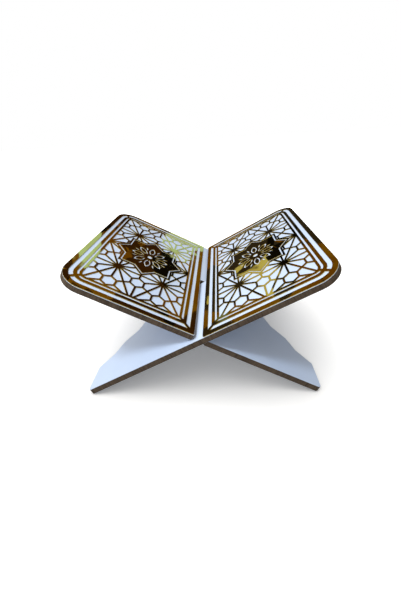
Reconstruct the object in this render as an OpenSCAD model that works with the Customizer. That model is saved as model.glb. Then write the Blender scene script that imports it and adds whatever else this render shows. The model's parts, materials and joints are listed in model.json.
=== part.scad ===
// Folding book stand: two equal slotted boards that cross like an X.
// Frame: X to the right, Y to the back, Z up. The origin is on the floor,
// under the middle of the crossing. The right board carries the right-hand
// book panel and the left-hand foot; the left board is the same board turned
// half round about the vertical.
// A board is drawn flat: X runs from the foot to the panel's outer edge with
// 0 at the crossing, Y from front to back, Z out of the book side.

/* [Boards] */
// Depth of each board, front to back
board_depth = 300; // [240:5:360]
// Length of the book panel, from the crossing to its outer edge
panel_length = 209.5; // [175:0.1:255]
// Length of the leg, from the crossing to the end of the foot
leg_length = 191; // [155:1:230]
// Thickness of a board, with both laminates
board_t = 8.6; // [6:0.1:10.5]
// Thickness of each white laminate
laminate_t = 0.2; // [0.1:0.01:0.5]
// Bare rim of the core outside each laminate, on the outer edges
bare_rim = 0.2; // [0.1:0.1:1.5]
// Radius of the book panel's two outer corners
panel_corner_r = 35.5; // [28:0.5:48]
// Radius of the foot's front and back corners
foot_corner_r = 6; // [2:0.5:12]

/* [Crossing] */
// Slope of each board when the stand is open, in degrees
board_slope = 28.3; // [24:0.1:36]
// Play between a slot's wall and the board in it, measured along the board
slot_play = 0.4; // [0.36:0.02:1]
// How far the two boards stop short of sliding fully home
slide_gap = 4.9; // [1:0.1:8]
// Radius of the two corners at a slot's mouth
slot_mouth_r = 3; // [1:0.5:5]

/* [Leg arch] */
// Width of each foot, front to back
foot_w = 44.4; // [30:0.1:60]
// Height of the arch along the leg
arch_h = 114; // [80:1:140]
// Half width of the arch where its crown starts
arch_crown_half = 31; // [20:1:45]
// Number of shoulders between the foot and the crown
arch_shoulders = 2; // [1:1:4]

/* [Mirror panel] */
// Thickness of the mirror sheet
mirror_t = 1; // [0.8:0.1:2]
// White margin between the book panel's outer end and the mirror panel
mirror_end_margin = 0.3; // [0.2:0.1:6]
// White margin along the mirror panel's front and back edges
mirror_side_margin = 1; // [0.3:0.1:6]
// White margin between a slot's wall and the mirror panel
mirror_slot_margin = 0.8; // [0.5:0.1:4]
// Width of the outer band
outer_band_w = 7.5; // [4:0.1:9]
// Width of the gap inside the outer band
wide_gap_w = 6.2; // [3:0.1:8]
// Width of the middle band
middle_band_w = 5.2; // [3:0.1:7]
// Width of the gap inside the middle band
narrow_gap_w = 3.1; // [2:0.1:5]
// Width of the bar that frames the lattice
frame_bar_w = 3.8; // [2.5:0.1:5]
// Width of the bridges that tie the bands together at the corners
bridge_w = 4.4; // [3:0.1:6]
// Radius of the mirror panel's two corners by the crossing
inner_corner_r = 2.5; // [1:0.5:5]
// Width of the lattice bars
lattice_bar_w = 3.1; // [2.4:0.1:4.5]
// Side of the small hexagons, along the middle of their bars
hexagon_side = 11.9; // [9:0.1:14]

/* [Star medallion] */
// Half the side of the two squares that make the star
star_half = 40.5; // [30:0.5:45]
// White gap round the medallion
star_gap = 2.2; // [1.5:0.1:4]
// Width of the bar that frames the star
star_bar_w = 3.3; // [2.4:0.1:4.5]
// Distance from the star's middle to the inner tip of a petal
petal_start = 9.5; // [8:0.5:12]
// Length of a petal
petal_length = 25; // [18:0.5:28]
// Width of a petal
petal_w = 11; // [8:0.5:12]
// Width of the line cut round each petal
petal_line_w = 1.7; // [1.2:0.1:3]
// Width of the slim leaf between two petals
slim_leaf_w = 2.6; // [2:0.1:4]
// Length of that leaf, as a share of a petal's
slim_leaf_share = 0.42; // [0.3:0.01:0.6]
// Half the side of the two squares that make the small star in the middle
heart_half = 3.6; // [2.5:0.1:5]

/* [Hidden] */
$fn = 96;

core_colour = "#6e5f49";
laminate_colour = "#eef2fa";
mirror_colour = "#b58a2c";

overlap = 0.5;       // how far a cutter runs past an edge
mouth_steps = 8;     // facets in each round corner of a slot's mouth
half_depth = board_depth / 2;
core_t = board_t - 2 * laminate_t;

// The slot just lets the other board through at the open slope.
slot_half = board_t / 2 / tan(board_slope) + slot_play;

// The stand rests on the lowest edge of the feet, whichever layer that is.
core_drop = leg_length * sin(board_slope) + core_t / 2 * cos(board_slope);
laminate_drop = (leg_length - bare_rim) * sin(board_slope) + board_t / 2 * cos(board_slope);
crossing_z = max(core_drop, laminate_drop);

// Leg arch: equal shoulders up to the crown, and each rises in the same two
// strokes, a long gentle one and a short one that turns in.
arch_foot_half = half_depth - foot_w;
arch_steps = arch_shoulders + 1;
arch_step_h = arch_h / arch_steps;
arch_step_w = (arch_foot_half - arch_crown_half) / arch_shoulders;
first_stroke_rise = 0.66;
first_stroke_run = 0.44;
function arch_half_at(step) =
    step < arch_steps ? arch_foot_half - step * arch_step_w : 0;
arch_side = [for (step = [0 : arch_steps - 1])
    let (base = arch_half_at(step), run = base - arch_half_at(step + 1))
    each [[step * arch_step_h, base],
          [(step + first_stroke_rise) * arch_step_h, base - first_stroke_run * run]]];

// Mirror panel: bands and gaps are counted in from its outer edge.
mirror_start = slot_half + mirror_slot_margin;
mirror_end = panel_length - mirror_end_margin;
mirror_half = half_depth - mirror_side_margin;
mirror_corner_r = panel_corner_r - mirror_side_margin;
middle_band_in = outer_band_w + wide_gap_w;
frame_in = middle_band_in + middle_band_w + narrow_gap_w;
field_in = frame_in + frame_bar_w;

// Lattice: a triangular grid whose pitch is half the field's width.
field_half_w = (mirror_end - mirror_start) / 2 - frame_in - frame_bar_w / 2;
field_half_d = mirror_half - frame_in - frame_bar_w / 2;
field_middle = (mirror_start + mirror_end) / 2;
pitch = field_half_w;
row_h = pitch * sin(60);
cell_to_node = pitch / sqrt(3);
cell_to_side = cell_to_node / 2;
rows = ceil(field_half_d / row_h);

// Where a flat board goes when the stand is open.
module on_right_board() {
    translate([0, -slide_gap / 2, crossing_z]) rotate([0, -board_slope, 0]) children();
}

module on_left_board() {
    translate([0, slide_gap / 2, crossing_z]) rotate([0, 0, 180]) rotate([0, -board_slope, 0])
        children();
}

// What is cut off a square corner to round it, for a corner that points to +X +Y.
module corner_waste(r) {
    translate([-r, -r]) difference() {
        square(r + overlap);
        circle(r);
    }
}

// The same at a front and a back corner, at x; turned is true where they point to -X.
module corner_pair_waste(x, half, r, turned = false) {
    for (side = [-1, 1])
        translate([x, side * half]) scale_to([turned ? -1 : 1, side]) corner_waste(r);
}

// Mirrors its child in X, in Y or in both, as the signs say.
module scale_to(signs) {
    mirror([signs.x < 0 ? 1 : 0, 0, 0]) mirror([0, signs.y < 0 ? 1 : 0, 0]) children();
}

// Round mouth of the slot on one side, from its wall out to the back edge.
function mouth_arc(side) = [for (i = [0 : mouth_steps])
    let (angle = 180 - 90 * i / mouth_steps)
    [side * (slot_half + slot_mouth_r * (1 + cos(angle))),
     half_depth - slot_mouth_r * (1 - sin(angle))]];

// Slot from the middle of the depth to the back edge.
module slot() {
    right = mouth_arc(1);
    left = mouth_arc(-1);
    lip = slot_half + slot_mouth_r;
    polygon(concat([[-slot_half, 0], [slot_half, 0]], right,
                   [[lip, half_depth + overlap], [-lip, half_depth + overlap]],
                   [for (i = [mouth_steps : -1 : 0]) left[i]]));
}

module arch() {
    back = [for (p = arch_side) [p.x - leg_length, p.y]];
    front = [for (i = [len(back) - 1 : -1 : 0]) [back[i].x, -back[i].y]];
    crown = [[arch_h - leg_length, 0]];
    foot = [[-leg_length - overlap, -arch_foot_half], [-leg_length - overlap, arch_foot_half]];
    polygon(concat(back, crown, front, foot));
}

// Flat outline of a board, or of a laminate that stands in from its outer edges.
module board_outline(rim = 0) {
    start = rim - leg_length;
    end = panel_length - rim;
    half = half_depth - rim;
    difference() {
        translate([start, -half]) square([end - start, 2 * half]);
        corner_pair_waste(end, half, panel_corner_r - rim);
        corner_pair_waste(start, half, foot_corner_r - rim, turned = true);
        slot();
        arch();
    }
}

module board_core() {
    translate([0, 0, -core_t / 2]) linear_extrude(core_t) board_outline();
}

module top_laminate() {
    translate([0, 0, core_t / 2]) linear_extrude(laminate_t) board_outline(bare_rim);
}

module bottom_laminate() {
    translate([0, 0, -board_t / 2]) linear_extrude(laminate_t) board_outline(bare_rim);
}

// Mirror panel's outline, moved in on all sides.
module mirror_outline(inset = 0) {
    start = mirror_start + inset;
    end = mirror_end - inset;
    half = mirror_half - inset;
    difference() {
        translate([start, -half]) square([end - start, 2 * half]);
        corner_pair_waste(end, half, mirror_corner_r - inset);
        if (inset < inner_corner_r) {
            corner_pair_waste(start, half, inner_corner_r - inset, turned = true);
        }
    }
}

module band(inset, w) {
    difference() {
        mirror_outline(inset);
        mirror_outline(inset + w);
    }
}

// Bar along X from one distance to another.
module bar(from, to, w) {
    translate([from, -w / 2]) square([to - from, w]);
}

// Bridges across the gaps between the bands, one at each corner.
module corner_bridges() {
    outer_x = mirror_end - mirror_corner_r;
    outer_y = mirror_half - mirror_corner_r;
    inner_reach = outer_band_w / 2 * sqrt(2);
    for (side = [-1, 1]) {
        translate([outer_x, side * outer_y]) rotate(side * 45)
            bar(mirror_corner_r - field_in + frame_bar_w / 2,
                mirror_corner_r - outer_band_w / 2, bridge_w);
        translate([mirror_start, side * mirror_half]) rotate(-side * 45)
            bar(inner_reach, (frame_in + frame_bar_w / 2) * sqrt(2), bridge_w);
    }
}

// Square turned to half its corner angle and set over a level one.
module star(half) {
    for (turn = [0, 45])
        rotate(turn) square(2 * half, center = true);
}

// One lattice cell: a hexagon, its three spokes to the grid's points and its
// three short links to the cells next to it. The first spoke points to +Y.
module lattice_cell() {
    ring = lattice_bar_w / 2 / cos(30);
    difference() {
        rotate(30) circle(hexagon_side + ring, $fn = 6);
        rotate(30) circle(hexagon_side - ring, $fn = 6);
    }
    for (spoke = [0 : 2]) {
        rotate(90 + 120 * spoke) bar(hexagon_side, cell_to_node, lattice_bar_w);
        rotate(30 + 120 * spoke) bar(hexagon_side, cell_to_side, lattice_bar_w);
    }
}

// Grid lines and cells about the middle of the field, wider than the field.
module lattice() {
    reach = 2 * (field_half_w + field_half_d);
    for (row = [-rows : rows])
        if (abs(row * row_h) < field_half_d)
            translate([0, row * row_h]) bar(-reach, reach, lattice_bar_w);
    for (column = [-rows : rows], lean = [60, 120])
        if ((abs(column) - 1) * pitch < field_half_d / tan(60))
            translate([column * pitch, 0]) rotate(lean) bar(-reach, reach, lattice_bar_w);
    for (row = [-rows : rows], column = [-2 : 2], up = [-1, 1]) {
        x = (column + (row % 2 == 0 ? 0 : 0.5)) * pitch + pitch / 2;
        y = row * row_h + up * row_h / 3;
        if (abs(x) < field_half_w + pitch / 4 && abs(y) < field_half_d + hexagon_side)
            translate([x, y]) rotate(up > 0 ? 0 : 180) lattice_cell();
    }
}

module mirror_panel() {
    translate([0, 0, board_t / 2]) linear_extrude(mirror_t) {
        band(0, outer_band_w);
        band(middle_band_in, middle_band_w);
        band(frame_in, frame_bar_w);
        corner_bridges();
        difference() {
            intersection() {
                translate([field_middle, 0]) lattice();
                mirror_outline(frame_in + frame_bar_w / 2);
            }
            translate([field_middle, 0]) star(star_half + star_gap + star_bar_w / 2);
        }
        translate([field_middle, 0]) difference() {
            star(star_half + star_gap + star_bar_w);
            star(star_half + star_gap);
        }
    }
}

// Pointed leaf along X between two distances, where two circles meet.
module leaf(from, to, w) {
    length = to - from;
    r = (length * length + w * w) / (4 * w);
    translate([(from + to) / 2, 0]) intersection() {
        translate([0, r - w / 2]) circle(r);
        translate([0, w / 2 - r]) circle(r);
    }
}

// Line round a petal; the leaf inside it hangs on a stalk at the inner tip.
module petal_line() {
    tip = petal_start + petal_length;
    tip_line = petal_line_w * petal_length / petal_w;
    stalk_w = petal_line_w;
    difference() {
        leaf(petal_start, tip, petal_w);
        leaf(petal_start + tip_line, tip - tip_line, petal_w - 2 * petal_line_w);
        bar(petal_start - overlap, petal_start + 2 * tip_line, stalk_w);
    }
}

// Generic flower of eight petals, with a slim leaf between each two.
module flower_cuts() {
    petal_end = petal_start + petal_length;
    for (petal = [0 : 7])
        rotate(45 * petal) {
            petal_line();
            rotate(22.5) leaf(petal_end - slim_leaf_share * petal_length, petal_end, slim_leaf_w);
        }
    star(heart_half);
}

module star_medallion() {
    translate([field_middle, 0, board_t / 2]) linear_extrude(mirror_t) difference() {
        star(star_half);
        flower_cuts();
    }
}

module right_board_core() {
    color(core_colour) on_right_board() board_core();
}

module right_board_top_laminate() {
    color(laminate_colour) on_right_board() top_laminate();
}

module right_board_bottom_laminate() {
    color(laminate_colour) on_right_board() bottom_laminate();
}

module right_mirror_panel() {
    color(mirror_colour) on_right_board() mirror_panel();
}

module right_star_medallion() {
    color(mirror_colour) on_right_board() star_medallion();
}

module left_board_core() {
    color(core_colour) on_left_board() board_core();
}

module left_board_top_laminate() {
    color(laminate_colour) on_left_board() top_laminate();
}

module left_board_bottom_laminate() {
    color(laminate_colour) on_left_board() bottom_laminate();
}

module left_mirror_panel() {
    color(mirror_colour) on_left_board() mirror_panel();
}

module left_star_medallion() {
    color(mirror_colour) on_left_board() star_medallion();
}

right_board_core();
right_board_top_laminate();
right_board_bottom_laminate();
right_mirror_panel();
right_star_medallion();
left_board_core();
left_board_top_laminate();
left_board_bottom_laminate();
left_mirror_panel();
left_star_medallion();
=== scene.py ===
"""Looks of the folding book stand: materials, edges, studio light, floor and camera."""
import json
import math

import bpy
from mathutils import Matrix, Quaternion, Vector

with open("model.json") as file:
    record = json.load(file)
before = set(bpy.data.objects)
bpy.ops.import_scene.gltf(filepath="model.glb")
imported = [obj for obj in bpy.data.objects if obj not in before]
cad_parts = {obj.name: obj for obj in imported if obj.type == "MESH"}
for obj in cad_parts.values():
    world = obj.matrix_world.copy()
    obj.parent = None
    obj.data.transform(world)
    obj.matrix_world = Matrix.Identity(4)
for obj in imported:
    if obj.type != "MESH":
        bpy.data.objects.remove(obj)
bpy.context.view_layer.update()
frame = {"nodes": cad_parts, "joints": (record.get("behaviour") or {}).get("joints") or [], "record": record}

SIDES = ("right", "left")
CROSSING = Vector(frame["joints"][0]["pos_m"])
MOUNT_AXIS = {m["name"]: Vector(m["axis"]) for m in frame["record"]["mounts"]}
BOOK_NORMAL = {side: MOUNT_AXIS[side + "_book_rest"] for side in SIDES}
BOARD_HALF = 0.0041       # half a core's thickness, metres
MM = 0.001

# ---------------------------------------------------------------- colours, linear RGB
LAMINATE_PALE = (0.73, 0.81, 0.945)
LAMINATE_DEEP = (0.69, 0.775, 0.925)
CORE_LIGHT = (0.155, 0.106, 0.066)
CORE_DARK = (0.064, 0.042, 0.026)
GOLD = (0.90, 0.62, 0.20)
GOLD_DEEP = (0.80, 0.50, 0.13)
# amber of the cut acrylic edges, made lighter as a painted highlight of lit edges
ACRYLIC_EDGE_AND_HIGHLIGHT = (0.60, 0.41, 0.08)
ACRYLIC_BURN = (0.16, 0.09, 0.025)
FLOOR = (0.93, 0.92, 0.90)
FLOOR_BOUNCE = (0.30, 0.30, 0.30)   # what the stand gets back from the floor
FLOOR_GLOW = 0.16         # light added to the floor that the camera sees

# ---------------------------------------------------------------- light and room
WHITE = (1.0, 1.0, 1.0)
KEY_COLOUR = (0.71, 0.84, 1.0)
SOFT_LEFT_TO_RIGHT = (1.45, 0.32)   # soft light from each side, times
SOFT_LOW_TO_HIGH = (0.11, 1.22)     # soft light from each height
# What the mirror panels see: a dark room in square blocks. Each colour takes
# the blocks whose random number is above its share.
ROOM_DARK = (0.034, 0.017, 0.006)
ROOM_DIM = (0.027, 0.026, 0.024)
ROOM_BLACK = (0.004, 0.004, 0.004)
ROOM_ORANGE = (0.135, 0.072, 0.005)
ROOM_BROWN = (0.160, 0.098, 0.006)
ROOM_OLIVE = (0.14, 0.205, 0.19)
ROOM_LEAF = (0.45, 0.80, 0.82)
ROOM_GOLD = (0.52, 0.62, 0.33)
ROOM_SHARES = (
    (0.35, ROOM_BLACK),
    (0.55, ROOM_BROWN),
    (0.70, ROOM_ORANGE),
    (0.80, ROOM_OLIVE),
    (0.90, ROOM_GOLD),
    (0.95, ROOM_LEAF),
)
ROOM_BLOCKS = 9.0
ROOM_SHIFT = (0.3, 0.1, 0.2)

# ---------------------------------------------------------------- sizes, metres
FLOOR_HALF = 8.0
FLOOR_FADE = (0.36, 1.0)  # distances between which the floor turns white
WELD = 0.002 * MM
CORE_EDGE = 0.1 * MM
MIRROR_EDGE = 0.1 * MM


# ---------------------------------------------------------------- node helpers
class Nodes:
    """Builds a node tree in plain steps; each method returns an output socket."""

    def __init__(self, tree):
        self.tree = tree
        tree.nodes.clear()

    def add(self, kind, **settings):
        node = self.tree.nodes.new(kind)
        for name, value in settings.items():
            setattr(node, name, value)
        return node

    def feed(self, socket, value):
        if isinstance(value, bpy.types.NodeSocket):
            self.tree.links.new(value, socket)
        elif isinstance(value, tuple) and socket.type == "RGBA":
            socket.default_value = (*value, 1.0)
        else:
            socket.default_value = value

    def math(self, operation, *values):
        node = self.add("ShaderNodeMath", operation=operation)
        for socket, value in zip(node.inputs, values):
            self.feed(socket, value)
        return node.outputs[0]

    def vector(self, operation, *values):
        node = self.add("ShaderNodeVectorMath", operation=operation)
        for socket, value in zip(node.inputs, values):
            self.feed(socket, value)
        return node.outputs["Value" if operation in ("DOT_PRODUCT", "LENGTH") else "Vector"]

    def scaled(self, vector, scale):
        return self.vector("MULTIPLY", vector, Vector(scale))

    def noise(self, vector, scale, detail=2.0, roughness=0.5):
        node = self.add("ShaderNodeTexNoise")
        self.feed(node.inputs["Vector"], vector)
        self.feed(node.inputs["Scale"], scale)
        self.feed(node.inputs["Detail"], detail)
        self.feed(node.inputs["Roughness"], roughness)
        return node.outputs["Fac"]

    def ramp(self, value, low, high, to_low=0.0, to_high=1.0):
        node = self.add("ShaderNodeMapRange", interpolation_type="SMOOTHSTEP")
        self.feed(node.inputs["Value"], value)
        self.feed(node.inputs["From Min"], low)
        self.feed(node.inputs["From Max"], high)
        self.feed(node.inputs["To Min"], to_low)
        self.feed(node.inputs["To Max"], to_high)
        return node.outputs["Result"]

    def mix(self, factor, first, second):
        node = self.add("ShaderNodeMix", data_type="RGBA")
        self.feed(node.inputs["Factor"], factor)
        self.feed(node.inputs[6], first)
        self.feed(node.inputs[7], second)
        return node.outputs[2]

    def bump(self, height, distance, strength=1.0, normal=None):
        node = self.add("ShaderNodeBump")
        self.feed(node.inputs["Height"], height)
        self.feed(node.inputs["Distance"], distance)
        self.feed(node.inputs["Strength"], strength)
        if normal is not None:
            self.feed(node.inputs["Normal"], normal)
        return node.outputs["Normal"]

    def split(self, vector):
        """The X, Y and Z outputs of a vector, by name."""
        node = self.add("ShaderNodeSeparateXYZ")
        self.feed(node.inputs[0], vector)
        return node.outputs

    def background(self, colour, strength=1.0):
        node = self.add("ShaderNodeBackground")
        self.feed(node.inputs["Color"], colour)
        self.feed(node.inputs["Strength"], strength)
        return node.outputs[0]

    def choose(self, factor, first, second):
        node = self.add("ShaderNodeMixShader")
        for socket, value in zip(node.inputs, (factor, first, second)):
            self.feed(socket, value)
        return node.outputs[0]

    def board_space(self, side):
        """A point as (along the board, front to back, out of its book face), from the crossing."""
        normal = BOOK_NORMAL[side]
        point = self.vector("SUBTRACT", self.add("ShaderNodeTexCoord").outputs["Object"], CROSSING)
        turn = self.add("ShaderNodeVectorRotate", rotation_type="Y_AXIS")
        self.feed(turn.inputs["Vector"], point)
        self.feed(turn.inputs["Angle"], math.atan2(-normal.x, normal.z))
        return turn.outputs[0]

    def faces_book(self, side):
        """1 where the surface is parallel to the board, 0 on its cut edges."""
        own_normal = self.add("ShaderNodeTexCoord").outputs["Normal"]
        along = self.math("ABSOLUTE", self.vector("DOT_PRODUCT", own_normal, BOOK_NORMAL[side]))
        return self.ramp(along, 0.80, 0.90)


def new_material(name, ior=1.5):
    material = bpy.data.materials.new(name)
    material.use_nodes = True
    nodes = Nodes(material.node_tree)
    shader = nodes.add("ShaderNodeBsdfPrincipled")
    output = nodes.add("ShaderNodeOutputMaterial")
    nodes.feed(output.inputs["Surface"], shader.outputs["BSDF"])
    shader.inputs["IOR"].default_value = ior
    return material, nodes, shader


# ---------------------------------------------------------------- materials
def laminate_material(side):
    """Cool white melamine: faint clouding, an orange-peel skin and a few dull rubs."""
    material, nodes, shader = new_material("white_laminate_" + side, ior=1.5)
    point = nodes.board_space(side)
    clouds = nodes.ramp(nodes.noise(point, 9.0, 3.0), 0.35, 0.65)
    specks = nodes.ramp(nodes.noise(point, 700.0, 1.0), 0.74, 0.80)
    colour = nodes.mix(clouds, LAMINATE_PALE, LAMINATE_DEEP)
    colour = nodes.mix(nodes.math("MULTIPLY", specks, 0.12), colour, CORE_LIGHT)
    rubs = nodes.noise(nodes.scaled(point, (1.0, 0.25, 1.0)), 30.0, 4.0, 0.6)
    nodes.feed(shader.inputs["Base Color"], colour)
    nodes.feed(shader.inputs["Roughness"], nodes.ramp(rubs, 0.35, 0.70, 0.30, 0.46))
    skin = nodes.bump(nodes.noise(point, 420.0, 2.0), 0.02 * MM, 0.6)
    nodes.feed(shader.inputs["Normal"], skin)
    return material


def core_material(side):
    """Laser-cut fibreboard: brown edge with burn streaks across it and fine fibres."""
    material, nodes, shader = new_material("mdf_core_" + side, ior=1.45)
    point = nodes.board_space(side)
    streaks = nodes.noise(nodes.scaled(point, (1.0, 1.0, 0.06)), 620.0, 2.0, 0.6)
    fibres = nodes.noise(nodes.scaled(point, (0.35, 0.35, 1.0)), 1400.0, 3.0, 0.7)
    blotches = nodes.noise(point, 45.0, 3.0)
    from_middle = nodes.math("ABSOLUTE", nodes.split(point)["Z"])
    rim = nodes.ramp(from_middle, BOARD_HALF * 0.55, BOARD_HALF)
    burn = nodes.math("MULTIPLY", streaks, 0.55)
    burn = nodes.math("ADD", burn, nodes.math("MULTIPLY", blotches, 0.35))
    burn = nodes.math("ADD", burn, nodes.math("MULTIPLY", rim, 0.14))
    colour = nodes.mix(nodes.ramp(burn, 0.34, 0.66), CORE_LIGHT, CORE_DARK)
    colour = nodes.mix(nodes.ramp(fibres, 0.55, 0.80, 0.0, 0.35), colour, CORE_LIGHT)
    nodes.feed(shader.inputs["Base Color"], colour)
    nodes.feed(shader.inputs["Roughness"], nodes.ramp(fibres, 0.3, 0.7, 0.62, 0.85))
    grooves = nodes.bump(streaks, 0.12 * MM, 0.7)
    nodes.feed(shader.inputs["Normal"], nodes.bump(fibres, 0.05 * MM, 0.5, grooves))
    return material


def mirror_material(side):
    """Gold mirror acrylic: a slightly wavy mirror face, and amber laser-cut edges whose colour is lightened
    as a painted highlight.
    """
    material, nodes, shader = new_material("gold_mirror_" + side, ior=1.49)
    point = nodes.board_space(side)
    face = nodes.faces_book(side)
    tone = nodes.ramp(nodes.noise(point, 14.0, 2.0), 0.3, 0.7)
    edge_streaks = nodes.noise(nodes.scaled(point, (1.0, 1.0, 0.1)), 900.0, 2.0)
    face_colour = nodes.mix(tone, GOLD, GOLD_DEEP)
    # cut edges: burn streaks on an amber that is lightened as a painted edge highlight
    edge_colour_and_highlight = nodes.mix(nodes.ramp(edge_streaks, 0.45, 0.75), ACRYLIC_EDGE_AND_HIGHLIGHT, ACRYLIC_BURN)
    nodes.feed(shader.inputs["Base Color"], nodes.mix(face, edge_colour_and_highlight, face_colour))
    nodes.feed(shader.inputs["Metallic"], nodes.ramp(face, 0.0, 1.0, 0.25, 1.0))
    smudges = nodes.ramp(nodes.noise(point, 38.0, 4.0, 0.65), 0.52, 0.74, 0.025, 0.11)
    nodes.feed(shader.inputs["Roughness"], nodes.ramp(face, 0.0, 1.0, 0.34, smudges))
    waves = nodes.bump(nodes.noise(point, 22.0, 1.0), 1.6 * MM, 0.35)
    scratches = nodes.noise(nodes.scaled(point, (1.0, 0.06, 1.0)), 900.0, 1.0)
    nodes.feed(shader.inputs["Normal"], nodes.bump(scratches, 0.004 * MM, 0.5, waves))
    return material


def floor_material():
    """A pale matt floor that goes white far out, and throws little light back up."""
    material, nodes, shader = new_material("studio_floor")
    shader.inputs["Roughness"].default_value = 0.9
    point = nodes.add("ShaderNodeTexCoord").outputs["Object"]
    distance = nodes.vector("LENGTH", point)
    tone = nodes.mix(nodes.noise(point, 2.0), FLOOR, tuple(0.98 * c for c in FLOOR))
    seen = nodes.add("ShaderNodeLightPath").outputs["Is Camera Ray"]
    nodes.feed(shader.inputs["Base Color"], nodes.mix(seen, FLOOR_BOUNCE, tone))
    nodes.feed(shader.inputs["Emission Color"], WHITE)
    glow = nodes.math("ADD", nodes.ramp(distance, *FLOOR_FADE), FLOOR_GLOW)
    nodes.feed(shader.inputs["Emission Strength"], nodes.math("MULTIPLY", glow, seen))
    return material


# ---------------------------------------------------------------- pieces
def dress(node_name, material, edge_width):
    """Gives a CAD node its material and a small worn edge."""
    piece = frame["nodes"][node_name]
    piece.data.materials.clear()
    piece.data.materials.append(material)
    weld = piece.modifiers.new("weld", "WELD")
    weld.merge_threshold = WELD
    if edge_width:
        bevel = piece.modifiers.new("worn_edge", "BEVEL")
        bevel.width = edge_width
        bevel.segments = 2
        bevel.limit_method = "ANGLE"
        bevel.angle_limit = math.radians(35)


def dress_board(side):
    core = core_material(side)
    laminate = laminate_material(side)
    mirror = mirror_material(side)
    dress(side + "_board_core", core, CORE_EDGE)
    dress(side + "_board_top_laminate", laminate, 0.0)
    dress(side + "_board_bottom_laminate", laminate, 0.0)
    dress(side + "_mirror_panel", mirror, MIRROR_EDGE)
    dress(side + "_star_medallion", mirror, MIRROR_EDGE)


# ---------------------------------------------------------------- studio
def make_floor():
    half = FLOOR_HALF
    corners = [(-half, -half, 0), (half, -half, 0), (half, half, 0), (-half, half, 0)]
    mesh = bpy.data.meshes.new("floor")
    mesh.from_pydata(corners, [], [(0, 1, 2, 3)])
    floor = bpy.data.objects.new("floor", mesh)
    floor.data.materials.append(floor_material())
    bpy.context.scene.collection.objects.link(floor)
    return floor


def area_light(name, towards, distance, size, power, colour, target, lights_only):
    """A square softbox at a distance from the target that lights only the given objects."""
    light = bpy.data.lights.new(name, "AREA")
    light.shape = "SQUARE"
    light.size = size
    light.energy = power
    light.color = colour
    lamp = bpy.data.objects.new(name, light)
    direction = Vector(towards).normalized()
    lamp.location = target + distance * direction
    lamp.rotation_mode = "QUATERNION"
    lamp.rotation_quaternion = (-direction).to_track_quat("-Z", "Y")
    lamp.visible_glossy = False
    bpy.context.scene.collection.objects.link(lamp)
    receivers = bpy.data.collections.new(name + "_receivers")
    for receiver in lights_only:
        receivers.objects.link(receiver)
    lamp.light_linking.receiver_collection = receivers


def room_colour(nodes, direction, sideways):
    """Square blocks of a few dim colours, on a base that is browner to the right."""
    blocks = nodes.add("ShaderNodeTexVoronoi", distance="CHEBYCHEV")
    nodes.feed(blocks.inputs["Vector"], nodes.vector("ADD", direction, Vector(ROOM_SHIFT)))
    nodes.feed(blocks.inputs["Scale"], ROOM_BLOCKS)
    number = nodes.split(blocks.outputs["Color"])["X"]
    to_the_right = nodes.math("GREATER_THAN", sideways, 0.0)
    room = nodes.mix(to_the_right, ROOM_DIM, ROOM_DARK)
    for share, colour in ROOM_SHARES:
        room = nodes.mix(nodes.math("GREATER_THAN", number, share), room, colour)
    return room


def make_world():
    """White to the camera, soft light to matt surfaces, a dark room to the mirrors."""
    world = bpy.data.worlds.new("studio")
    world.use_nodes = True
    bpy.context.scene.world = world
    nodes = Nodes(world.node_tree)
    direction = nodes.add("ShaderNodeTexCoord").outputs["Generated"]
    parts = nodes.split(direction)
    from_side = nodes.ramp(parts["X"], -1.0, 1.0, *SOFT_LEFT_TO_RIGHT)
    from_height = nodes.ramp(parts["Z"], 0.0, 1.0, *SOFT_LOW_TO_HIGH)
    soft = nodes.background(WHITE, nodes.math("MULTIPLY", from_side, from_height))
    mirrored = nodes.background(room_colour(nodes, direction, parts["X"]))
    path = nodes.add("ShaderNodeLightPath")
    unseen = nodes.choose(path.outputs["Is Glossy Ray"], soft, mirrored)
    all_rays = nodes.choose(path.outputs["Is Camera Ray"], unseen, nodes.background(WHITE))
    output = nodes.add("ShaderNodeOutputWorld")
    nodes.feed(output.inputs["Surface"], all_rays)


def make_lights(floor):
    """A cool key for the stand, and an overhead softbox that keeps the floor white."""
    stand = list(frame["nodes"].values())
    area_light("key", towards=(-0.33, -0.41, 0.93), distance=1.07, size=0.17, power=5.6,
               colour=KEY_COLOUR, target=CROSSING, lights_only=stand)
    area_light("overhead", towards=(-0.05, 0.05, 1.0), distance=1.3, size=1.4, power=19.0,
               colour=WHITE, target=Vector((0, 0, 0)), lights_only=[floor])


def make_camera():
    """The photographer's view: close, a little left of straight on, 21 degrees down."""
    from_crossing = Vector((0.0344, -0.4561, 0.2711))
    heading, down, roll = math.radians(-4.21), math.radians(20.65), math.radians(-3.60)
    camera = bpy.data.cameras.new("camera")
    camera.lens = 17.05
    camera.sensor_width = 36.0
    camera.shift_x = -0.0004
    camera.shift_y = -0.11075
    camera.clip_start = 0.01
    view = bpy.data.objects.new("camera", camera)
    view.location = CROSSING + from_crossing
    level = Vector((math.sin(heading), math.cos(heading), 0)) * math.cos(down)
    ahead = level - Vector((0, 0, math.sin(down)))
    view.rotation_mode = "QUATERNION"
    view.rotation_quaternion = ahead.to_track_quat("-Z", "Y") @ Quaternion((0, 0, 1), roll)
    bpy.context.scene.collection.objects.link(view)
    bpy.context.scene.camera = view


make_camera()
for board_side in SIDES:
    dress_board(board_side)
studio_floor = make_floor()
make_world()
make_lights(studio_floor)
bpy.context.scene.view_settings.view_transform = "Standard"
